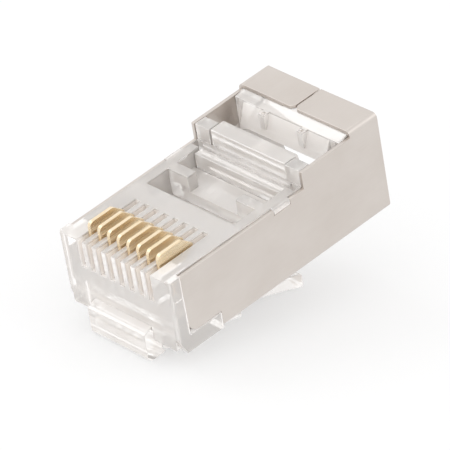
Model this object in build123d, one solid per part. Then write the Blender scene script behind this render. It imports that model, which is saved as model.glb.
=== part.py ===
from build123d import *
import os
from math import asin, atan2, degrees, hypot

# Shielded eight-way modular plug, contact side up, lying on its latch.
# While it is modelled, x runs across the plug, y rearwards from the nose face
# and z upwards from the underside of the shield. All sizes are in millimetres.

# Overall sizes
LENGTH = 21.9            # nose face to the rear edge of the shield
NOSE_WIDTH = 11.64       # clear nose, at its widest
NOSE_PROUD = 0.08        # nose beyond the shield, each side
DECK_HEIGHT = 6.55       # underside of the shield to the front deck of the housing
STEP_HEIGHT = 1.35       # rear part of the housing above the front deck
FLAP_RISE = 0.55         # top of the shield's flaps above that part
REAR_PART = 7.95         # step to the rear edge of the shield
FIT = 0.04               # shield to housing
RUN = 0.09               # moving pieces to the housing

# Folded shield
SHEET = 0.3
BEND = 0.42              # outer radius of the folds
SHIELD_FRONT = 1.2       # nose face to the front edge of the walls
WALL_BELOW_DECK = 0.11
TONGUE_END = 4.37        # nose face to the rear end of the raised tongue
TONGUE_LIFT = 1.4
TONGUE_ROUND = 0.9
FLAP_LENGTH = 2.9
SEAM = 0.14              # gap between the two flaps
SEAM_MOUTH = 0.8         # width of the seam where it opens at the front
NUB_AHEAD = 3.2          # locking nub in front of the step
NUB_LENGTH = 1.7
NUB_DEPTH = 0.45

# Contact blades
CONTACTS = 8
PITCH = 1.016
BLADE = 0.3              # thickness of a blade
BLADE_FRONT = 1.15       # nose face to the front of a blade
BLADE_LENGTH = 3.38
BLADE_HEIGHT = 3.37
BLADE_PROUD = 0.88       # top of a blade above the deck before crimping
BLADE_NOSE = 0.42        # radius of the top corners
BLADE_SLOPE = 1.0        # length of the sloping rear end of the top edge
BLADE_HEEL = 0.05        # rear end of that slope above the deck
TINES = 3
TINE = 0.6               # length of a piercing tine
BLADE_SIDE_GAP = 0.05
BLADE_END_GAP = 0.1

# Slots and channels in the nose
GROOVE_WIDTH = 0.54      # slot above the blade seat
GROOVE_DEPTH = 1.05
GROOVE_END = 6.0         # nose face to the rear end of the grooves
FRONT_SLOT_DEPTH = 2.4   # slot on the nose face
CHANNEL_DROP = 4.0       # floor of the wire channels below the deck
CHANNEL_HEIGHT = 1.3
CHANNEL_WALL = 0.12      # web between neighbouring wire channels
CHANNEL_FRONT = 0.9      # thickness of the nose wall in front of the channels
NOSE_ROUND = 0.35
LEAD_LENGTH = 0.62       # bevel under the nose face
LEAD_HEIGHT = 1.4

# Wells and bars on the deck
WELL_RAIL = 0.85         # wall beside the well
WELL_LAND = 1.85         # deck between the grooves and the well
WELL_DEPTH = 1.4
TRENCH_SHARE = 0.46      # deep front part of the well, as a share of its length
TRENCH_DEPTH = 2.35
GATE_SHARE = 0.19        # gate blocks behind the trench, as a share of the well's length
GATE_GAP = 5.0           # opening between the two gate blocks
CLAMP_AHEAD = 1.3        # wire clamp bar in front of the step
CLAMP_THICK = 0.85
CLAMP_HEIGHT = 1.6
CLAMP_BELOW_DECK = 0.2
CLAMP_CHAMFER = 0.3
PIT_WIDTH = 0.75         # small pits at the foot of the posts
PIT_LENGTH = 0.6
PIT_DEPTH = 1.0
POST_WIDTH = 1.45        # end posts of the step
POST_THICK = 1.1
CHEEK_DROP = 2.4         # side cheeks behind the posts, below the step's top
CRIMP_THICK = 1.4        # jacket bar, front to rear
CRIMP_KNUCKLE = 0.35     # radius of its hinge edge
CRIMP_PIVOT_DROP = 1.85  # pivot below the step's top
CRIMP_TOE = 0.3          # toe of the bar behind its top
LIP_LENGTH = 0.85        # rear lip of the jacket window in front of the flaps
MOUTH_SLOPE = 0.75       # how far the window's rear wall leans forward
LEDGE = 0.3              # lip below the flaps
LIP_DROP = 1.85          # lower edge of the window's rear wall below the step's top
RIB_SPACING = 4.0
RIB_WIDTH = 0.55
RIB_LENGTH = 0.65        # top of a rib, front to rear
RIB_HEIGHT = 1.3
RIB_NOTCH = 0.32

# Cable cavity
CAVITY_WALL = 0.85
CAVITY_FLOOR = 0.75
CAVITY_LID = 1.11        # moulding above the cavity at the rear
CAVITY_ROUND = 1.2
THROAT_BACK = 0.25       # throat behind the step
THROAT_DROP = 2.55       # roof of the throat below the step's top
ENTRY_AHEAD = 1.45       # end of the taper in front of the clamp bar
ENTRY_RUN = 2.0          # flat wire entry
ENTRY_FLARE = 0.25       # flare of the cable mouth, each side
FLARE_LENGTH = 0.9
REAR_INSET = 0.35        # housing end inside the shield's rear edge

# Latch
LATCH_WIDTH = 6.0
TAIL_WIDTH = 3.2
ROOT_PROUD = 0.85        # root in front of the nose face
ROOT_THICK = 1.85
ROOT_RISE = 1.6          # top of the root on the nose face
ROOT_DROP = 1.15         # root below the underside
ROOT_ROUND = 0.45
PIVOT_BACK = 0.15        # pivot behind the root's rear face
ARM_THICK = 0.95
SHOULDER_PLACE = 8.4
SHOULDER_DROP = 2.8      # lower face of the arm at the shoulder
TAIL_END = 15.8
TAIL_DROP = 5.25         # lowest edge of the tail
TAIL_BOW = 0.1           # how far the tail arches above a straight line
TAIL_THICK = 1.15
TAIL_ROUND = 0.2

# Levels and places that follow from the sizes above
STEP_TOP = DECK_HEIGHT + STEP_HEIGHT
REAR_HEIGHT = STEP_TOP + FLAP_RISE
STEP_PLACE = LENGTH - REAR_PART
SHIELD_WIDTH = NOSE_WIDTH - 2 * NOSE_PROUD
CORE_HALF = SHIELD_WIDTH / 2 - SHEET - FIT
CORE_FLOOR = SHEET + FIT
WALL_TOP = DECK_HEIGHT - WALL_BELOW_DECK
WALL_STEP = STEP_PLACE - FIT
FLAP_FRONT = LENGTH - FLAP_LENGTH
REAR_TOP = REAR_HEIGHT - SHEET - FIT
NUB_PLACE = STEP_PLACE - NUB_AHEAD
BLADE_TOP = DECK_HEIGHT + BLADE_PROUD
BLADE_REAR = BLADE_FRONT + BLADE_LENGTH
CHANNEL_WIDTH = PITCH - CHANNEL_WALL
CHANNEL_FLOOR = DECK_HEIGHT - CHANNEL_DROP
WELL_FLOOR = DECK_HEIGHT - WELL_DEPTH
WELL_WIDTH = 2 * (CORE_HALF - WELL_RAIL)
WELL_FRONT = GROOVE_END + WELL_LAND
CLAMP_PLACE = STEP_PLACE - CLAMP_AHEAD
WELL_LENGTH = CLAMP_PLACE - WELL_FRONT
GATE_PLACE = WELL_FRONT + TRENCH_SHARE * WELL_LENGTH
GATE_REAR = GATE_PLACE + GATE_SHARE * WELL_LENGTH
MOUTH_REAR = FLAP_FRONT - LIP_LENGTH
CAVITY_WIDTH = 2 * (CORE_HALF - CAVITY_WALL)
CAVITY_ROOF = REAR_TOP - CAVITY_LID
LIP_BOTTOM = STEP_TOP - LIP_DROP
THROAT_PLACE = STEP_PLACE + THROAT_BACK
THROAT_ROOF = STEP_TOP - THROAT_DROP
ENTRY_PLACE = CLAMP_PLACE - ENTRY_AHEAD
CHANNEL_END = ENTRY_PLACE - ENTRY_RUN
CHEEK_TOP = STEP_TOP - CHEEK_DROP
CRIMP_HALF = CORE_HALF - POST_WIDTH - RUN
CRIMP_FRONT = STEP_PLACE + RUN
CRIMP_PIVOT = (CRIMP_FRONT + CRIMP_KNUCKLE, STEP_TOP - CRIMP_PIVOT_DROP)
CLAMP_REAR = CLAMP_PLACE + CLAMP_THICK
LATCH_PIVOT = (ROOT_THICK - ROOT_PROUD + PIVOT_BACK, -RUN - ARM_THICK / 2)


def side_profile(points):
    """Face in the side plane from (y, z) corners."""
    return Plane.YZ * make_face(Polyline(*points, close=True))


def across(points, half):
    """Side profile run across the plug, half to each side of the middle."""
    return extrude(side_profile(points), amount=half, both=True)


def brick(x_range, y_range, z_range):
    """Rectangular block between pairs of limits."""
    size = [high - low for low, high in (x_range, y_range, z_range)]
    middle = [(high + low) / 2 for low, high in (x_range, y_range, z_range)]
    return Pos(*middle) * Box(*size)


def cross_section(place, half, floor, roof, radius):
    """Rounded cross section of a cavity at one place along the plug."""
    plane = Plane(origin=(0, place, (floor + roof) / 2), x_dir=(1, 0, 0), z_dir=(0, 1, 0))
    return plane * RectangleRounded(2 * half, roof - floor, radius)


def contact_places():
    """Middle of each contact across the plug."""
    return [(index - (CONTACTS - 1) / 2) * PITCH for index in range(CONTACTS)]


def housing_blank():
    """Outside of the clear moulding: core, wider nose and the foot below the tongue."""
    rear = LENGTH - REAR_INSET
    core = across(
        [
            (0, CORE_FLOOR),
            (rear, CORE_FLOOR),
            (rear, REAR_TOP),
            (FLAP_FRONT - FIT, REAR_TOP),
            (FLAP_FRONT - FIT - LEDGE, STEP_TOP),
            (STEP_PLACE, STEP_TOP),
            (STEP_PLACE, DECK_HEIGHT),
            (0, DECK_HEIGHT),
        ],
        CORE_HALF,
    )
    lengthwise = core.edges().filter_by(Axis.Y)
    under_sheet = lengthwise.group_by(Axis.Z)[0] + lengthwise.group_by(Axis.Z)[-1]
    core = fillet(under_sheet, BEND - SHEET)
    foot_end = TONGUE_END - FIT
    foot_top = TONGUE_LIFT - FIT
    nose_rear = SHIELD_FRONT - FIT
    nose = across(
        [
            (0, LEAD_HEIGHT),
            (LEAD_LENGTH, 0),
            (foot_end, 0),
            (foot_end, foot_top),
            (nose_rear, foot_top),
            (nose_rear, DECK_HEIGHT),
            (0, DECK_HEIGHT),
        ],
        NOSE_WIDTH / 2,
    )
    front_edges = nose.edges().filter_by_position(Axis.Y, -0.01, 0.01)
    nose = fillet(front_edges.filter_by(Axis.Z) + front_edges.group_by(Axis.Z)[-1], NOSE_ROUND)
    return core + nose + shield_nubs() + latch_root()


def shield_nubs():
    """Locking nubs of the housing that stand out through the notches in the walls."""
    outer = SHIELD_WIDTH / 2
    start = NUB_PLACE + FIT
    end = NUB_PLACE + NUB_LENGTH - FIT
    bottom = WALL_TOP - NUB_DEPTH + FIT
    profile = side_profile([(start, bottom), (end, bottom), (end, DECK_HEIGHT), (start, DECK_HEIGHT)])
    nub = Pos(CORE_HALF - SHEET, 0, 0) * extrude(profile, amount=outer - CORE_HALF + SHEET)
    top_edge = nub.edges().filter_by(Axis.Y).group_by(Axis.Z)[-1].sort_by(Axis.X)[-1]
    nub = fillet(top_edge, SHEET * 0.6)
    return nub + mirror(nub, about=Plane.YZ)


def latch_root():
    """Block below the nose that the latch bends from, with a round seat for the arm."""
    front = -ROOT_PROUD
    rear = front + ROOT_THICK
    block = across(
        [
            (front, -ROOT_DROP),
            (rear, -ROOT_DROP),
            (rear, LEAD_HEIGHT),
            (LEAD_LENGTH, ROOT_RISE),
            (0, ROOT_RISE),
            (front, ROOT_RISE - NOSE_ROUND),
        ],
        LATCH_WIDTH / 2,
    )
    lower = block.edges().filter_by(Axis.X).group_by(Axis.Z)[0]
    block = fillet(lower, ROOT_ROUND)
    seat = Pos(0, *LATCH_PIVOT) * Rot(Y=90) * Cylinder(ARM_THICK / 2 + RUN, LATCH_WIDTH + 1)
    return block - seat


def cable_cavity():
    """Rounded cavity from the cable mouth down to the flat wire entry."""
    rear = LENGTH - REAR_INSET
    half = CAVITY_WIDTH / 2
    entry_half = (CONTACTS * PITCH - CHANNEL_WALL) / 2 + CHANNEL_WALL
    roof = CHANNEL_FLOOR + CHANNEL_HEIGHT
    slim = CHANNEL_HEIGHT * 0.35
    mouth_floor = CAVITY_FLOOR - ENTRY_FLARE
    mouth_roof = CAVITY_ROOF + ENTRY_FLARE
    sections = [
        cross_section(rear + FIT, half + ENTRY_FLARE, mouth_floor, mouth_roof, CAVITY_ROUND),
        cross_section(rear - FLARE_LENGTH, half, CAVITY_FLOOR, CAVITY_ROOF, CAVITY_ROUND),
        cross_section(MOUTH_REAR - MOUTH_SLOPE, half, CAVITY_FLOOR, LIP_BOTTOM, CAVITY_ROUND),
        cross_section(THROAT_PLACE, half, CAVITY_FLOOR, THROAT_ROOF, CAVITY_ROUND),
        cross_section(ENTRY_PLACE, entry_half, CHANNEL_FLOOR, roof, slim),
        cross_section(CHANNEL_END, entry_half, CHANNEL_FLOOR, roof, slim),
    ]
    return loft(sections, ruled=True)


def contact_slots():
    """Spring groove, blade seat and wire channel of one contact, in the middle of the plug."""
    top = DECK_HEIGHT + 1
    groove_floor = DECK_HEIGHT - GROOVE_DEPTH
    seat_front = BLADE_FRONT - BLADE_END_GAP
    groove = across(
        [
            (-1, top),
            (-1, DECK_HEIGHT - FRONT_SLOT_DEPTH),
            (seat_front, DECK_HEIGHT - FRONT_SLOT_DEPTH),
            (seat_front, groove_floor),
            (GROOVE_END, groove_floor),
            (GROOVE_END, top),
        ],
        GROOVE_WIDTH / 2,
    )
    seat = brick(
        (-BLADE / 2 - BLADE_SIDE_GAP, BLADE / 2 + BLADE_SIDE_GAP),
        (seat_front, BLADE_REAR + BLADE_END_GAP),
        (CHANNEL_FLOOR, top),
    )
    channel = brick(
        (-CHANNEL_WIDTH / 2, CHANNEL_WIDTH / 2),
        (CHANNEL_FRONT, CHANNEL_END + CHANNEL_WALL),
        (CHANNEL_FLOOR, CHANNEL_FLOOR + CHANNEL_HEIGHT),
    )
    return groove + seat + channel


def deck_openings():
    """Wells on the contact side: the wire well, the clamp bar's slot and the jacket window."""
    top = REAR_HEIGHT
    trench_floor = DECK_HEIGHT - TRENCH_DEPTH
    trench = brick((-WELL_WIDTH / 2, WELL_WIDTH / 2), (WELL_FRONT, GATE_PLACE), (trench_floor, top))
    gate = brick(
        (-GATE_GAP / 2, GATE_GAP / 2),
        (GATE_PLACE - RUN, GATE_REAR + RUN),
        (WELL_FLOOR, top),
    )
    well = brick(
        (-WELL_WIDTH / 2, WELL_WIDTH / 2),
        (GATE_REAR, CLAMP_PLACE),
        (WELL_FLOOR, top),
    )
    slot = brick(
        (-WELL_WIDTH / 2, WELL_WIDTH / 2),
        (CLAMP_PLACE - RUN, CLAMP_REAR + RUN),
        (CHANNEL_FLOOR + CHANNEL_HEIGHT, top),
    )
    between_posts = brick(
        (-CRIMP_HALF - RUN, CRIMP_HALF + RUN),
        (STEP_PLACE, STEP_PLACE + POST_THICK + RUN),
        (THROAT_ROOF - SHEET, top),
    )
    window = across(
        [
            (STEP_PLACE + POST_THICK, CAVITY_FLOOR + CAVITY_ROUND),
            (MOUTH_REAR - MOUTH_SLOPE, CAVITY_FLOOR + CAVITY_ROUND),
            (MOUTH_REAR - MOUTH_SLOPE, LIP_BOTTOM),
            (MOUTH_REAR, STEP_TOP),
            (MOUTH_REAR, top),
            (STEP_PLACE + POST_THICK, top),
        ],
        CAVITY_WIDTH / 2,
    )
    cheek = brick(
        (CAVITY_WIDTH / 2 - RUN, CORE_HALF + FIT),
        (STEP_PLACE + POST_THICK, MOUTH_REAR),
        (CHEEK_TOP, top),
    )
    cheeks = cheek + mirror(cheek, about=Plane.YZ)
    pit_rear = STEP_PLACE - RUN
    pits = brick(
        (-WELL_WIDTH / 2 - PIT_WIDTH, WELL_WIDTH / 2 + PIT_WIDTH),
        (pit_rear - PIT_LENGTH, pit_rear),
        (DECK_HEIGHT - PIT_DEPTH, DECK_HEIGHT + 1),
    )
    web = brick(
        (-WELL_WIDTH / 2, WELL_WIDTH / 2),
        (CLAMP_REAR + RUN, STEP_PLACE),
        (THROAT_ROOF - SHEET, DECK_HEIGHT),
    )
    return trench + gate + well + slot + between_posts + window + cheeks + (pits - web)


def window_ribs():
    """Two small notched ribs on the rear wall of the jacket window."""
    front = MOUTH_REAR - RIB_LENGTH
    lower_wall = MOUTH_REAR - MOUTH_SLOPE * RIB_HEIGHT / LIP_DROP
    bottom = STEP_TOP - RIB_HEIGHT
    rib = across(
        [
            (front, bottom),
            (lower_wall + FIT, bottom),
            (MOUTH_REAR + FIT, STEP_TOP),
            (front, STEP_TOP),
        ],
        RIB_WIDTH / 2,
    )
    wall = (RIB_WIDTH - RIB_NOTCH) / 2
    notch = brick(
        (-RIB_NOTCH / 2, RIB_NOTCH / 2),
        (front + wall, front + wall + RIB_NOTCH),
        (STEP_TOP - RIB_NOTCH, STEP_TOP + 1),
    )
    rib = rib - notch
    return [Pos(side * RIB_SPACING / 2, 0, 0) * rib for side in (-1, 1)]


def make_housing():
    """Clear moulding with every slot, channel, well and cavity."""
    slots = [Pos(place, 0, 0) * contact_slots() for place in contact_places()]
    body = housing_blank() - cable_cavity() - slots - deck_openings()
    return body + window_ribs()


def make_shield():
    """One folded sheet: underside, side walls with tongues, and two flaps that meet in a seam."""
    outline = cross_section(0, SHIELD_WIDTH / 2, 0, REAR_HEIGHT, BEND)
    hollow = cross_section(0, SHIELD_WIDTH / 2 - SHEET, SHEET, REAR_HEIGHT - SHEET, BEND - SHEET)
    tube = Pos(0, SHIELD_FRONT, 0) * extrude(outline - hollow, amount=LENGTH - SHIELD_FRONT)
    above = REAR_HEIGHT + 1
    ahead = SHIELD_FRONT - 1
    flap_notch = STEP_TOP
    upper = across(
        [
            (ahead, WALL_TOP),
            (NUB_PLACE, WALL_TOP),
            (NUB_PLACE, WALL_TOP - NUB_DEPTH),
            (NUB_PLACE + NUB_LENGTH, WALL_TOP - NUB_DEPTH),
            (NUB_PLACE + NUB_LENGTH, WALL_TOP),
            (WALL_STEP, WALL_TOP),
            (WALL_STEP, flap_notch),
            (FLAP_FRONT, flap_notch),
            (FLAP_FRONT, above),
            (ahead, above),
        ],
        SHIELD_WIDTH,
    )
    lower = brick((-SHIELD_WIDTH, SHIELD_WIDTH), (ahead, TONGUE_END), (-1, TONGUE_LIFT))
    sheet = tube - upper - lower - seam_cut()
    cross_edges = sheet.edges().filter_by(Axis.X)
    tongue_tips = cross_edges.filter_by_position(Axis.Y, SHIELD_FRONT - 0.01, SHIELD_FRONT + 0.01)
    return fillet(tongue_tips.group_by(Axis.Z)[0], TONGUE_ROUND)


def seam_cut():
    """Gap between the flaps, opening in a small mouth at the front."""
    start = FLAP_FRONT - FIT
    plan = make_face(
        Polyline(
            (-SEAM_MOUTH / 2, start),
            (SEAM_MOUTH / 2, start),
            (SEAM / 2, start + SEAM_MOUTH / 2),
            (SEAM / 2, LENGTH + 1),
            (-SEAM / 2, LENGTH + 1),
            (-SEAM / 2, start + SEAM_MOUTH / 2),
            close=True,
        )
    )
    return Pos(0, 0, REAR_HEIGHT - 2 * SHEET) * extrude(plan, amount=3 * SHEET)


def make_contact(place):
    """One blade with rounded top corners, a sloping rear end and piercing tines."""
    root = BLADE_TOP - BLADE_HEIGHT + TINE
    tine_pitch = BLADE_LENGTH / TINES
    zigzag = []
    for index in range(TINES):
        zigzag.append((BLADE_REAR - (index + 0.5) * tine_pitch, root - TINE))
        zigzag.append((BLADE_REAR - (index + 1) * tine_pitch, root))
    corners = [
        (BLADE_FRONT, BLADE_TOP),
        (BLADE_REAR - BLADE_SLOPE, BLADE_TOP),
        (BLADE_REAR, DECK_HEIGHT + BLADE_HEEL),
        (BLADE_REAR, root),
    ]
    outline = make_face(Polyline(*corners, *zigzag, close=True))
    tops = outline.vertices().group_by(Axis.Y)[-1].sort_by(Axis.X)
    outline = fillet(tops, BLADE_NOSE)
    return Pos(place, 0, 0) * extrude(Plane.YZ * outline, amount=BLADE / 2, both=True)


def make_clamp_bar():
    """Low cross bar that is pressed down on the wires."""
    half = WELL_WIDTH / 2 - RUN
    top = DECK_HEIGHT - CLAMP_BELOW_DECK
    bottom = top - CLAMP_HEIGHT
    bar = brick((-half, half), (CLAMP_PLACE, CLAMP_REAR), (bottom, top))
    lower = bar.edges().filter_by(Axis.X).group_by(Axis.Z)[0]
    return chamfer(lower, CLAMP_CHAMFER)


def make_crimp_bar():
    """Jacket bar with a flat top, a round hinge edge in front and a pressing toe behind."""
    pivot_y, pivot_z = CRIMP_PIVOT
    rear = CRIMP_FRONT + CRIMP_THICK
    body = make_face(
        Polyline(
            (CRIMP_FRONT, pivot_z),
            (CRIMP_FRONT, STEP_TOP),
            (rear, STEP_TOP),
            (rear + CRIMP_TOE, pivot_z),
            (pivot_y, pivot_z - CRIMP_KNUCKLE),
            close=True,
        )
    )
    knuckle = Pos(pivot_y, pivot_z) * Circle(CRIMP_KNUCKLE)
    return extrude(Plane.YZ * (body + knuckle), amount=CRIMP_HALF, both=True)


def make_latch():
    """Lever with a round root, wide locking shoulders and a narrow arched tail."""
    pivot_y, pivot_z = LATCH_PIVOT
    half_arm = ARM_THICK / 2
    shoulder = (SHOULDER_PLACE, -SHOULDER_DROP)
    tip = (TAIL_END - TAIL_ROUND, -TAIL_DROP)
    middle = ((shoulder[0] + tip[0]) / 2, (shoulder[1] + tip[1]) / 2 + TAIL_BOW)
    upper = [(y, z + TAIL_THICK) for y, z in (shoulder, middle, tip)]
    heel = (TAIL_END, -TAIL_DROP + TAIL_ROUND)
    brow = (TAIL_END, upper[2][1] - TAIL_ROUND)
    edge = Curve() + [
        Line((pivot_y, pivot_z - half_arm), shoulder),
        ThreePointArc(shoulder, middle, tip),
        RadiusArc(tip, heel, -TAIL_ROUND),
        Line(heel, brow),
        RadiusArc(brow, upper[2], -TAIL_ROUND),
        ThreePointArc(upper[2], upper[1], upper[0]),
        Line(upper[0], (pivot_y, pivot_z + half_arm)),
        Line((pivot_y, pivot_z + half_arm), (pivot_y, pivot_z - half_arm)),
    ]
    profile = make_face(edge) + Pos(pivot_y, pivot_z) * Circle(half_arm)
    lever = extrude(Plane.YZ * profile, amount=LATCH_WIDTH / 2, both=True)
    wide, narrow = LATCH_WIDTH / 2 + 1, TAIL_WIDTH / 2
    reach = TAIL_END + 1
    plan = make_face(
        Polyline(
            (-wide, -1),
            (wide, -1),
            (wide, SHOULDER_PLACE),
            (narrow, SHOULDER_PLACE),
            (narrow, reach),
            (-narrow, reach),
            (-narrow, SHOULDER_PLACE),
            (-wide, SHOULDER_PLACE),
            close=True,
        )
    )
    return lever & Pos(0, 0, -TAIL_DROP - 1) * extrude(plan, amount=TAIL_DROP + 2)


def resting_pitch():
    """Angle by which the rear rises when the root and the end of the tail both touch the table."""
    run = TAIL_END - TAIL_ROUND + ROOT_PROUD - ROOT_ROUND
    fall = TAIL_DROP - ROOT_DROP + ROOT_ROUND
    return degrees(atan2(fall, run) - asin(ROOT_ROUND / hypot(run, fall)))


pieces = {
    "housing": make_housing(),
    "shield": make_shield(),
    "latch": make_latch(),
    "wire_clamp_bar": make_clamp_bar(),
    "crimp_bar": make_crimp_bar(),
}
for number, place in enumerate(contact_places(), start=1):
    pieces[f"contact_{number}"] = make_contact(place)

# The plug lies on its latch, with the middle of its footprint at the origin.
tilted = {name: Rot(X=resting_pitch()) * piece for name, piece in pieces.items()}
boxes = [piece.bounding_box() for piece in tilted.values()]
rear_end = max(box.max.Y for box in boxes)
front_end = min(box.min.Y for box in boxes)
lowest = min(box.min.Z for box in boxes)
to_origin = Pos(0, -(front_end + rear_end) / 2, -lowest)

os.makedirs("parts", exist_ok=True)
for name, piece in tilted.items():
    export_step(to_origin * piece, f"parts/{name}.step")
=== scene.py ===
import logging
import math
from dataclasses import dataclass, field
from enum import Enum

import bmesh
import bpy
from mathutils import Matrix, Vector
from mathutils.geometry import intersect_point_line


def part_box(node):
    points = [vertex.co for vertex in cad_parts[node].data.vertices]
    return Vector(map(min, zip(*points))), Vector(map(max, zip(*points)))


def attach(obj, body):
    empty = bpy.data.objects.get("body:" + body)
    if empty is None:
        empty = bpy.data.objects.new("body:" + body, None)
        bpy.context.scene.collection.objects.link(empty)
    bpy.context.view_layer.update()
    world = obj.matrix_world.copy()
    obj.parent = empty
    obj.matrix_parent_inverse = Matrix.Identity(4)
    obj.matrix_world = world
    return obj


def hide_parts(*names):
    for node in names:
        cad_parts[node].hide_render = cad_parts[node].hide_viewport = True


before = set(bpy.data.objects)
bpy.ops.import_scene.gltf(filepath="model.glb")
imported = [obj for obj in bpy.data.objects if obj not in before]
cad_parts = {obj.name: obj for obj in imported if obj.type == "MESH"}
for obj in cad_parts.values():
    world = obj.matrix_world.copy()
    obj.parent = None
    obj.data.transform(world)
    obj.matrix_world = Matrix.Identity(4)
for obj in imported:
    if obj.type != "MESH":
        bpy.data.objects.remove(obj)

LOG = logging.getLogger("modular_plug")
MM = 0.001
PITCH = 14.3242          # degrees by which the plug's rear is raised as it lies on its latch
WHITE = (1.0, 1.0, 1.0, 1.0)
Colour = tuple[float, float, float]
Triple = tuple[float, float, float]
Span = tuple[float, float]
Stops = tuple[Span, ...]
Socket = bpy.types.NodeSocket


class Body(Enum):
    """The moving bodies that the pieces ride on."""

    PLUG = "plug_body"
    LATCH = "latch_lever"
    JACKET_BAR = "jacket_bar"
    WIRE_BAR = "wire_bar"


class Slot(Enum):
    """The material slots of the part's record."""

    CLEAR = "clear_polycarbonate"
    NICKEL = "nickel_plated_sheet"
    GOLD = "gold_plated_contact"


class Sum(Enum):
    """The sums of two numbers that the materials and the sky use."""

    PRODUCT = "MULTIPLY"
    LARGER = "MAXIMUM"
    BELOW = "LESS_THAN"


# Finishes


@dataclass(frozen=True)
class Patch:
    """A box in the plug's own directions, in millimetres from the origin, and the number inside it."""

    low: Triple
    high: Triple
    value: float

    @property
    def middle(self) -> Vector:
        """The box's middle."""
        return (Vector(self.low) + Vector(self.high)) / 2

    @property
    def half(self) -> Vector:
        """Half of the box's size."""
        return (Vector(self.high) - Vector(self.low)) / 2


@dataclass(frozen=True)
class Grain:
    """A noise pattern: a grain's size across the plug, along it and through it, and its finer layers."""

    size: Triple
    layers: float


@dataclass(frozen=True)
class Relief:
    """A bump's full height in metres, and how much of it shows."""

    height: float
    strength: float


class NodeBench:
    """A node tree, with short calls that add and join its nodes."""

    def __init__(self, tree: bpy.types.NodeTree) -> None:
        """Takes the tree to work on."""
        self.tree = tree

    def node(self, kind: str, **inputs: object) -> bpy.types.Node:
        """Adds a node and fills its sockets.

        Args:
            kind: The node's type name.
            **inputs: Socket values, with underscores for the spaces in their names.

        Returns:
            The new node.
        """
        made = self.tree.nodes.new(kind)
        for key, value in inputs.items():
            made.inputs[key.replace("_", " ")].default_value = value
        return made

    def join(self, source: Socket, target: Socket) -> None:
        """Links one socket to another."""
        self.tree.links.new(source, target)

    def reckon(self, operation: Sum, first: Socket, second: float | Socket) -> Socket:
        """Works out a number from two others.

        Args:
            operation: The sum.
            first: The first number.
            second: The second number, or a socket that gives it.

        Returns:
            The result.
        """
        made = self.node("ShaderNodeMath")
        made.operation = operation.value
        self.join(first, made.inputs[0])
        if isinstance(second, float):
            made.inputs[1].default_value = second
        else:
            self.join(second, made.inputs[1])
        return made.outputs["Value"]

    def blend(self, share: Socket, first: Socket, second: Socket) -> Socket:
        """Blends two shaders.

        Args:
            share: The second shader's share.
            first: The first shader.
            second: The second shader.

        Returns:
            The blended shader.
        """
        mixed = self.node("ShaderNodeMixShader")
        self.join(share, mixed.inputs["Fac"])
        self.join(first, mixed.inputs[1])
        self.join(second, mixed.inputs[2])
        return mixed.outputs["Shader"]


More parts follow.
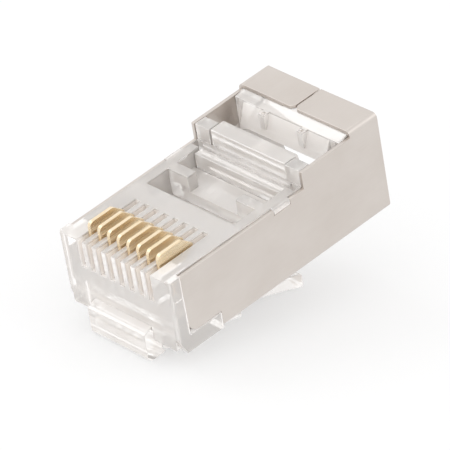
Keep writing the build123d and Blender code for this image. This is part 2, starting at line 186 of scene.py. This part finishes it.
class FinishBench(NodeBench):
    """A finish's material and shader, with the patterns that the finishes share."""

    TROUGH = 0.3         # a pattern's strength in its troughs
    CREST = 0.7          # a pattern's strength on its crests
    LAYER_SHARE = 0.55   # strength of each finer layer of a pattern beside the one before it

    def __init__(self, name: str) -> None:
        """Starts a new material with its own surface shader.

        Args:
            name: The material's name.
        """
        self.material = bpy.data.materials.new(name)
        self.material.use_nodes = True
        super().__init__(self.material.node_tree)
        self.shader = self.tree.nodes["Principled BSDF"]
        self.place = self.node("ShaderNodeTexCoord").outputs["Object"]

    def laid(self, size: Triple) -> Socket:
        """Turns a place into the tilted plug's own directions.

        Args:
            size: The length that counts as one across the plug, along it and through it, in metres.

        Returns:
            The place in those lengths.
        """
        mapping = self.node("ShaderNodeMapping", Rotation=(math.radians(PITCH), 0.0, 0.0), Scale=size)
        mapping.vector_type = "TEXTURE"
        self.join(self.place, mapping.inputs["Vector"])
        return mapping.outputs["Vector"]

    def grained(self, grain: Grain) -> Socket:
        """Makes a noise pattern that lies along the tilted plug.

        Args:
            grain: The pattern's sizes.

        Returns:
            The pattern's strength, from 0 to 1.
        """
        noise = self.node("ShaderNodeTexNoise", Scale=1.0, Detail=grain.layers, Roughness=self.LAYER_SHARE)
        self.join(self.laid(grain.size), noise.inputs["Vector"])
        return noise.outputs["Fac"]

    def along(self, ends: Span, stops: Stops) -> Socket:
        """Makes a number that changes along the tilted plug.

        Args:
            ends: The plug's front and rear end along its length, in millimetres from the origin.
            stops: Shares of that length, each with the number there.

        Returns:
            The number.
        """
        parts = self.node("ShaderNodeSeparateXYZ")
        self.join(self.laid((MM,) * 3), parts.inputs["Vector"])
        share = self.node("ShaderNodeMapRange", From_Min=ends[0], From_Max=ends[1])
        self.join(parts.outputs["Y"], share.inputs["Value"])
        ramp = self.node("ShaderNodeValToRGB")
        marks = ramp.color_ramp.elements
        marks.remove(marks[1])
        for number, (place, value) in enumerate(stops):
            mark = marks.new(place) if number else marks[0]
            mark.position = place
            mark.color = (value, value, value, 1.0)
        self.join(share.outputs["Result"], ramp.inputs["Fac"])
        return ramp.outputs["Color"]

    def patched(self, source: Socket, patch: Patch) -> Socket:
        """Gives a number another value inside a box.

        Args:
            source: The number outside the box.
            patch: The box and its own number.

        Returns:
            The patched number.
        """
        scaled = self.node("ShaderNodeVectorMath")
        scaled.operation = "MULTIPLY_ADD"
        scaled.inputs[1].default_value = [1.0 / half for half in patch.half]
        scaled.inputs[2].default_value = [-mid / half for mid, half in zip(patch.middle, patch.half)]
        self.join(self.laid((MM,) * 3), scaled.inputs[0])
        away = self.node("ShaderNodeVectorMath")
        away.operation = "ABSOLUTE"
        self.join(scaled.outputs["Vector"], away.inputs[0])
        parts = self.node("ShaderNodeSeparateXYZ")
        self.join(away.outputs["Vector"], parts.inputs["Vector"])
        flat = self.reckon(Sum.LARGER, parts.outputs["X"], parts.outputs["Y"])
        farthest = self.reckon(Sum.LARGER, flat, parts.outputs["Z"])
        mixed = self.node("ShaderNodeMixRGB", Color2=(patch.value, patch.value, patch.value, 1.0))
        self.join(self.reckon(Sum.BELOW, farthest, 1.0), mixed.inputs["Fac"])
        self.join(source, mixed.inputs["Color1"])
        return mixed.outputs["Color"]

    def tint(self, source: Socket, low: Colour, high: Colour) -> Socket:
        """Turns a pattern into a colour between two tones.

        Args:
            source: The pattern.
            low: The tone in its troughs.
            high: The tone on its crests.

        Returns:
            The colour.
        """
        ramp = self.node("ShaderNodeValToRGB")
        for mark, place, tone in zip(ramp.color_ramp.elements, (self.TROUGH, self.CREST), (low, high)):
            mark.position = place
            mark.color = (*tone, 1.0)
        self.join(source, ramp.inputs["Fac"])
        return ramp.outputs["Color"]

    def roughen(self, source: Socket, span: Span) -> None:
        """Lets a pattern change how rough the surface is.

        Args:
            source: The pattern.
            span: The roughness in its troughs and on its crests.
        """
        spread = self.node("ShaderNodeMapRange", From_Min=self.TROUGH, From_Max=self.CREST,
                           To_Min=span[0], To_Max=span[1])
        self.join(source, spread.inputs["Value"])
        self.join(spread.outputs["Result"], self.shader.inputs["Roughness"])

    def raised(self, source: Socket, relief: Relief) -> None:
        """Bumps the surface by a pattern.

        Args:
            source: The pattern.
            relief: The bump's height and strength.
        """
        bump = self.node("ShaderNodeBump", Strength=relief.strength, Distance=relief.height)
        self.join(source, bump.inputs["Height"])
        self.join(bump.outputs["Normal"], self.shader.inputs["Normal"])


@dataclass(frozen=True)
class ClearPlastic:
    """Clear moulded polycarbonate with flow waves, a fine tool texture and milkier stretches.

    The clarity is the share of light that a face lets in. It changes along the plug, and the comb of
    slots, the well and the window's rear wall have their own. The window's rear wall is painted light: it
    is made almost wholly milky so that it shows white, standing in for light that shines through it from
    behind.
    """

    name: str = "clear_polycarbonate_moulding"
    pale: Colour = (1.0, 0.968, 0.94)
    dull: Colour = (0.98, 0.938, 0.90)
    flow: Grain = Grain((0.0024, 0.0024, 0.0024), 1.0)
    texture: Grain = Grain((0.00016, 0.00016, 0.00016), 2.0)
    wave: Relief = Relief(0.00004, 0.25)
    polish: Span = (0.03, 0.08)
    index: float = 1.585
    ends: Span = (-9.2, 12.7)
    clarity: Stops = ((0.05, 0.47), (0.12, 0.46), (0.34, 0.46), (0.39, 0.55), (0.71, 0.55), (0.79, 0.50))
    comb: Patch = Patch((-4.2, -9.05, 4.0), (4.2, -3.0, 10.0), 0.15)
    well: Patch = Patch((-5.0, -1.3, 5.0), (5.0, 3.4, 10.0), 0.45)
    # painted light: the window's rear wall is made almost wholly milky so it shows white, standing in for
    # light shining through it from behind
    window_painted_backlight: Patch = Patch((-5.0, 7.8, 9.3), (5.0, 9.05, 11.4), 0.15)

    def material(self) -> bpy.types.Material:
        """Makes the finish: milky and tinted where light enters, wholly clear where it leaves.

        Returns:
            The material.
        """
        bench = FinishBench(self.name)
        flow = bench.grained(self.flow)
        bench.roughen(bench.grained(self.texture), self.polish)
        bench.raised(flow, self.wave)
        bench.shader.inputs["IOR"].default_value = self.index
        inside = bench.node("ShaderNodeNewGeometry").outputs["Backfacing"]
        level = bench.along(self.ends, self.clarity)
        for patch in (self.comb, self.well, self.window_painted_backlight):
            level = bench.patched(level, patch)
        clear = bench.node("ShaderNodeMapRange", To_Max=1.0)
        bench.join(level, clear.inputs["To Min"])
        bench.join(inside, clear.inputs["Value"])
        bench.join(clear.outputs["Result"], bench.shader.inputs["Transmission Weight"])
        skin = bench.node("ShaderNodeMixRGB", Color2=WHITE)
        bench.join(inside, skin.inputs["Fac"])
        bench.join(bench.tint(flow, self.dull, self.pale), skin.inputs["Color1"])
        bench.join(skin.outputs["Color"], bench.shader.inputs["Base Color"])
        return bench.material


@dataclass(frozen=True)
class MetalFinish:
    """A plated metal, with cloudy tones and a grain drawn along the plug."""

    name: str
    pale: Colour
    dull: Colour
    gloss: Span
    metal: float
    cloud: Grain
    drawn: Grain
    scratch: Relief

    def material(self) -> bpy.types.Material:
        """Makes the finish.

        Returns:
            The material.
        """
        bench = FinishBench(self.name)
        cloud = bench.grained(self.cloud)
        drawn = bench.grained(self.drawn)
        bench.join(bench.tint(cloud, self.dull, self.pale), bench.shader.inputs["Base Color"])
        bench.roughen(drawn, self.gloss)
        bench.raised(drawn, self.scratch)
        bench.shader.inputs["Metallic"].default_value = self.metal
        return bench.material


@dataclass(frozen=True)
class NickelSheet(MetalFinish):
    """Satin nickel plate on rolled sheet, with the rolling grain along the plug."""

    name: str = "nickel_plated_rolled_sheet"
    pale: Colour = (0.70, 0.648, 0.606)
    dull: Colour = (0.66, 0.605, 0.56)
    gloss: Span = (0.30, 0.42)
    metal: float = 1.0
    cloud: Grain = Grain((0.0033, 0.0045, 0.0033), 3.0)
    drawn: Grain = Grain((0.00011, 0.002, 0.00011), 3.0)
    scratch: Relief = Relief(0.000006, 0.35)


@dataclass(frozen=True)
class GoldPlate(MetalFinish):
    """Bright gold plate over stamped contact blades, streaked along them."""

    name: str = "gold_plated_blade"
    pale: Colour = (0.98, 0.84, 0.63)
    dull: Colour = (0.92, 0.75, 0.49)
    gloss: Span = (0.22, 0.36)
    metal: float = 0.85
    cloud: Grain = Grain((0.0002, 0.0035, 0.00013), 2.0)
    drawn: Grain = Grain((0.00008, 0.005, 0.00011), 2.0)
    scratch: Relief = Relief(0.000004, 0.3)


# Pieces


def pick_only(obj: bpy.types.Object) -> None:
    """Makes an object the only selected and the active one.

    Args:
        obj: The object.
    """
    bpy.ops.object.select_all(action="DESELECT")
    obj.select_set(True)
    bpy.context.view_layer.objects.active = obj


def own_copy(source: bpy.types.Object, name: str) -> bpy.types.Object:
    """Copies an object together with its mesh.

    Args:
        source: The object to copy.
        name: The name of the copy and of its mesh.

    Returns:
        The copy, without the source's parent.
    """
    made = source.copy()
    made.data = source.data.copy()
    made.name = name
    made.data.name = name
    made.parent = None
    bpy.context.scene.collection.objects.link(made)
    return made


@dataclass(frozen=True)
class EdgeBreak:
    """How the sharp edges of a piece are rounded off, in millimetres and degrees."""

    width: float
    segments: int = 2
    sharpest: float = 35.0
    shortest: float = 0.16
    room: float = 2.4
    probes: tuple[float, ...] = (0.05, 0.25, 0.5, 0.75, 0.95)

    def marks(self, edge: bmesh.types.BMEdge) -> bool:
        """Tells whether an edge is one to round.

        Args:
            edge: An edge of the piece, in millimetres.

        Returns:
            True for an outward edge between faces that leave room for the rounding.
        """
        if len(edge.link_faces) != 2 or edge.calc_length() < self.shortest:
            return False
        if edge.calc_face_angle_signed(0.0) < math.radians(self.sharpest):
            return False
        return not any(self.crowded(edge, face) for face in edge.link_faces)

    def crowded(self, edge: bmesh.types.BMEdge, face: bmesh.types.BMFace) -> bool:
        """Tells whether a face is too narrow beside an edge for the rounding.

        Args:
            edge: The edge to round, in millimetres.
            face: One of its two faces.

        Returns:
            True if another edge of the face lies too near.
        """
        ends = set(edge.verts)
        start, end = (vert.co for vert in edge.verts)
        spots = [start.lerp(end, share) for share in self.probes]
        for other in face.edges:
            if ends.isdisjoint(other.verts):
                low, high = (vert.co for vert in other.verts)
                for spot in spots:
                    near, share = intersect_point_line(spot, low, high)
                    if 0.0 <= share <= 1.0 and (near - spot).length < self.room * self.width:
                        return True
        return False


@dataclass
class DressedPiece:
    """A piece that stands for a CAD node, with its edges rounded and its own finish.

    Its lengths are in millimetres and its angles in degrees.
    """

    node: str
    name: str
    body: str
    slot: Slot
    edges: EdgeBreak
    weld: float = 0.0008
    flat: float = 0.4
    smooth: float = 50.0
    obj: bpy.types.Object | None = field(default=None, init=False)

    def build(self) -> None:
        """Copies the node at its own place and rounds the copy's edges."""
        self.obj = own_copy(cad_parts[self.node], self.name)
        pick_only(self.obj)
        self.obj.data.transform(Matrix.Scale(1.0 / MM, 4))
        self.merge_faces()
        self.mark_edges()
        self.round_edges()
        self.obj.data.transform(Matrix.Scale(MM, 4))
        self.smooth_faces()

    def merge_faces(self) -> None:
        """Welds the node's loose triangles and merges them into whole faces."""
        bpy.ops.object.mode_set(mode="EDIT")
        bpy.ops.mesh.select_all(action="SELECT")
        bpy.ops.mesh.customdata_custom_splitnormals_clear()
        bpy.ops.mesh.remove_doubles(threshold=self.weld)
        bpy.ops.mesh.dissolve_limited(angle_limit=math.radians(self.flat))
        bpy.ops.object.mode_set(mode="OBJECT")

    def mark_edges(self) -> None:
        """Weights the edges that the rounding takes."""
        mesh = bmesh.new()
        mesh.from_mesh(self.obj.data)
        weight = mesh.edges.layers.float.new("bevel_weight_edge")
        for edge in mesh.edges:
            edge[weight] = 1.0 if self.edges.marks(edge) else 0.0
        mesh.to_mesh(self.obj.data)
        mesh.free()

    def round_edges(self) -> None:
        """Rounds the weighted edges."""
        rounding = self.obj.modifiers.new("rounded_edges", "BEVEL")
        rounding.limit_method = "WEIGHT"
        rounding.width = self.edges.width
        rounding.segments = self.edges.segments
        rounding.use_clamp_overlap = False
        bpy.ops.object.modifier_apply(modifier=rounding.name)

    def smooth_faces(self) -> None:
        """Shades the roundings smooth and keeps the faces between them level."""
        bpy.ops.object.shade_smooth_by_angle(angle=math.radians(self.smooth))
        level = self.obj.modifiers.new("level_faces", "WEIGHTED_NORMAL")
        level.keep_sharp = True
        bpy.ops.object.modifier_apply(modifier=level.name)

    def dress(self, material: bpy.types.Material) -> None:
        """Gives the piece its finish, its body and its node.

        Args:
            material: The finish's material.
        """
        self.obj.data.materials.clear()
        self.obj.data.materials.append(material)
        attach(self.obj, self.body)
        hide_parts(self.node)
        LOG.info("%s stands for %s: %d faces", self.name, self.node, len(self.obj.data.polygons))


@dataclass
class MouldedHousing:
    """The clear moulding and the clear pieces that move in it."""

    edge: float = 0.06
    lever_edge: float = 0.09
    bar_edge: float = 0.08
    finish: ClearPlastic = ClearPlastic()

    def piece(self, node: str, name: str, body: Body, edge: float) -> DressedPiece:
        """Names one clear piece, not built yet."""
        return DressedPiece(node, name, body.value, Slot.CLEAR, EdgeBreak(edge))

    def build(self) -> None:
        """Builds and dresses the clear pieces, the moulding first."""
        material = self.finish.material()
        for piece in (
            self.piece("housing", "clear_housing", Body.PLUG, self.edge),
            self.piece("latch", "clear_latch_lever", Body.LATCH, self.lever_edge),
            self.piece("crimp_bar", "clear_jacket_bar", Body.JACKET_BAR, self.bar_edge),
            self.piece("wire_clamp_bar", "clear_wire_bar", Body.WIRE_BAR, self.bar_edge),
        ):
            piece.build()
            piece.dress(material)


@dataclass
class SheetShield:
    """The folded metal shield round the moulding."""

    edge: float = 0.05
    finish: NickelSheet = NickelSheet()

    def build(self) -> None:
        """Builds and dresses the shield."""
        edges = EdgeBreak(self.edge)
        piece = DressedPiece("shield", "folded_shield", Body.PLUG.value, Slot.NICKEL, edges)
        piece.build()
        piece.dress(self.finish.material())


@dataclass
class ContactRow:
    """The eight gold blades, modelled once and copied along the row."""

    count: int = 8
    edge: float = 0.05
    finish: GoldPlate = GoldPlate()

    def build(self) -> None:
        """Builds the first blade, copies it to each place and dresses the row."""
        material = self.finish.material()
        first = self.piece(1)
        first.build()
        first.dress(material)
        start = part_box(first.node)[0]
        for number in range(2, self.count + 1):
            piece = self.piece(number)
            piece.obj = own_copy(first.obj, piece.name)
            piece.obj.data.transform(Matrix.Translation(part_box(piece.node)[0] - start))
            piece.dress(material)

    def piece(self, number: int) -> DressedPiece:
        """Names the blade of a number from 1, not built yet."""
        node = f"contact_{number}"
        return DressedPiece(node, f"gold_blade_{number}", f"{node}_blade", Slot.GOLD, EdgeBreak(self.edge))


# Studio


@dataclass(frozen=True)
class SoftLamp:
    """A soft square lamp that faces the plug: its place and side in metres, its power in watts."""

    name: str
    place: Triple
    side: float
    power: float

    def hang(self) -> None:
        """Hangs the lamp."""
        light = bpy.data.lights.new(f"{self.name}_lamp", "AREA")
        light.size = self.side
        light.energy = self.power
        lamp = bpy.data.objects.new(light.name, light)
        lamp.location = self.place
        lamp.rotation_euler = (-Vector(self.place)).to_track_quat("-Z", "Y").to_euler()
        bpy.context.scene.collection.objects.link(lamp)


@dataclass
class Studio:
    """The white table, the soft light and the camera."""

    table_side: float = 3.0
    table_tone: Colour = (0.96, 0.96, 0.96)
    table_white: float = 0.5
    sky_light: float = 0.95
    lamps: tuple[SoftLamp, ...] = (
        SoftLamp("key", (-0.58, -0.26, 0.62), 0.60, 0.8),
        SoftLamp("fill", (0.36, -0.78, 0.42), 1.10, 1.8),
        SoftLamp("rim", (0.52, 0.30, 0.67), 0.50, 0.35),
    )
    camera_place: Triple = (0.236258, -0.238542, 0.168473)
    camera_turn: Triple = (64.2406, -1.9595, 45.6821)
    lens: float = 407.892
    sensor: float = 36.0
    nearest: float = 0.01
    clear_bounces: int = 64
    plain_bounces: int = 24

    def build(self) -> None:
        """Sets the table, the sky, the lamps and the camera."""
        self.lay_table()
        self.hang_sky()
        for lamp in self.lamps:
            lamp.hang()
        self.set_camera()
        scene = bpy.context.scene
        scene.view_settings.view_transform = "Standard"
        scene.cycles.max_bounces = self.clear_bounces
        scene.cycles.transmission_bounces = self.clear_bounces
        scene.cycles.diffuse_bounces = self.plain_bounces
        scene.cycles.glossy_bounces = self.plain_bounces

    def lay_table(self) -> None:
        """Lays the white table."""
        bpy.ops.object.select_all(action="DESELECT")
        bpy.ops.mesh.primitive_plane_add(size=self.table_side, location=(0.0, 0.0, 0.0))
        table = bpy.context.object
        table.name = "white_table"
        table.data.materials.append(self.table_top())

    def table_top(self) -> bpy.types.Material:
        """Makes a matt top that metal and plastic show at full white, and that is clear from below.

        Returns:
            The material.
        """
        material = bpy.data.materials.new("white_table_top")
        material.use_nodes = True
        bench = NodeBench(material.node_tree)
        bench.tree.nodes.clear()
        rays = bench.node("ShaderNodeLightPath").outputs
        straight = bench.reckon(Sum.PRODUCT, rays["Is Camera Ray"], self.table_white)
        mirrored = bench.reckon(Sum.LARGER, rays["Is Glossy Ray"], rays["Is Transmission Ray"])
        matt = bench.node("ShaderNodeBsdfDiffuse", Color=(*self.table_tone, 1.0)).outputs["BSDF"]
        white = bench.node("ShaderNodeEmission").outputs["Emission"]
        lit = bench.blend(bench.reckon(Sum.LARGER, straight, mirrored), matt, white)
        below = bench.node("ShaderNodeNewGeometry").outputs["Backfacing"]
        gone = bench.node("ShaderNodeBsdfTransparent").outputs["BSDF"]
        out = bench.node("ShaderNodeOutputMaterial")
        bench.join(bench.blend(below, lit, gone), out.inputs["Surface"])
        return material

    def hang_sky(self) -> None:
        """Hangs a white sky that the camera, metal and plastic show at full white."""
        world = bpy.data.worlds.new("white_sky")
        bpy.context.scene.world = world
        world.use_nodes = True
        bench = NodeBench(world.node_tree)
        bench.tree.nodes.clear()
        rays = bench.node("ShaderNodeLightPath").outputs
        mirrored = bench.reckon(Sum.LARGER, rays["Is Glossy Ray"], rays["Is Transmission Ray"])
        level = bench.node("ShaderNodeMapRange", To_Min=self.sky_light, To_Max=1.0)
        bench.join(bench.reckon(Sum.LARGER, mirrored, rays["Is Camera Ray"]), level.inputs["Value"])
        sky = bench.node("ShaderNodeBackground", Color=WHITE)
        bench.join(level.outputs["Result"], sky.inputs["Strength"])
        out = bench.node("ShaderNodeOutputWorld")
        bench.join(sky.outputs["Background"], out.inputs["Surface"])

    def set_camera(self) -> None:
        """Sets the camera at the photograph's angle."""
        lens = bpy.data.cameras.new("studio_camera")
        lens.lens = self.lens
        lens.sensor_width = self.sensor
        lens.clip_start = self.nearest
        camera = bpy.data.objects.new("studio_camera", lens)
        camera.location = self.camera_place
        camera.rotation_euler = tuple(math.radians(angle) for angle in self.camera_turn)
        bpy.context.scene.collection.objects.link(camera)
        bpy.context.scene.camera = camera


def main() -> None:
    """Builds the plug's pieces in order, then the studio."""
    logging.basicConfig(level=logging.INFO, format="%(name)s: %(message)s")
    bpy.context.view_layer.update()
    MouldedHousing().build()
    SheetShield().build()
    ContactRow().build()
    Studio().build()


if __name__ == "__main__":
    main()
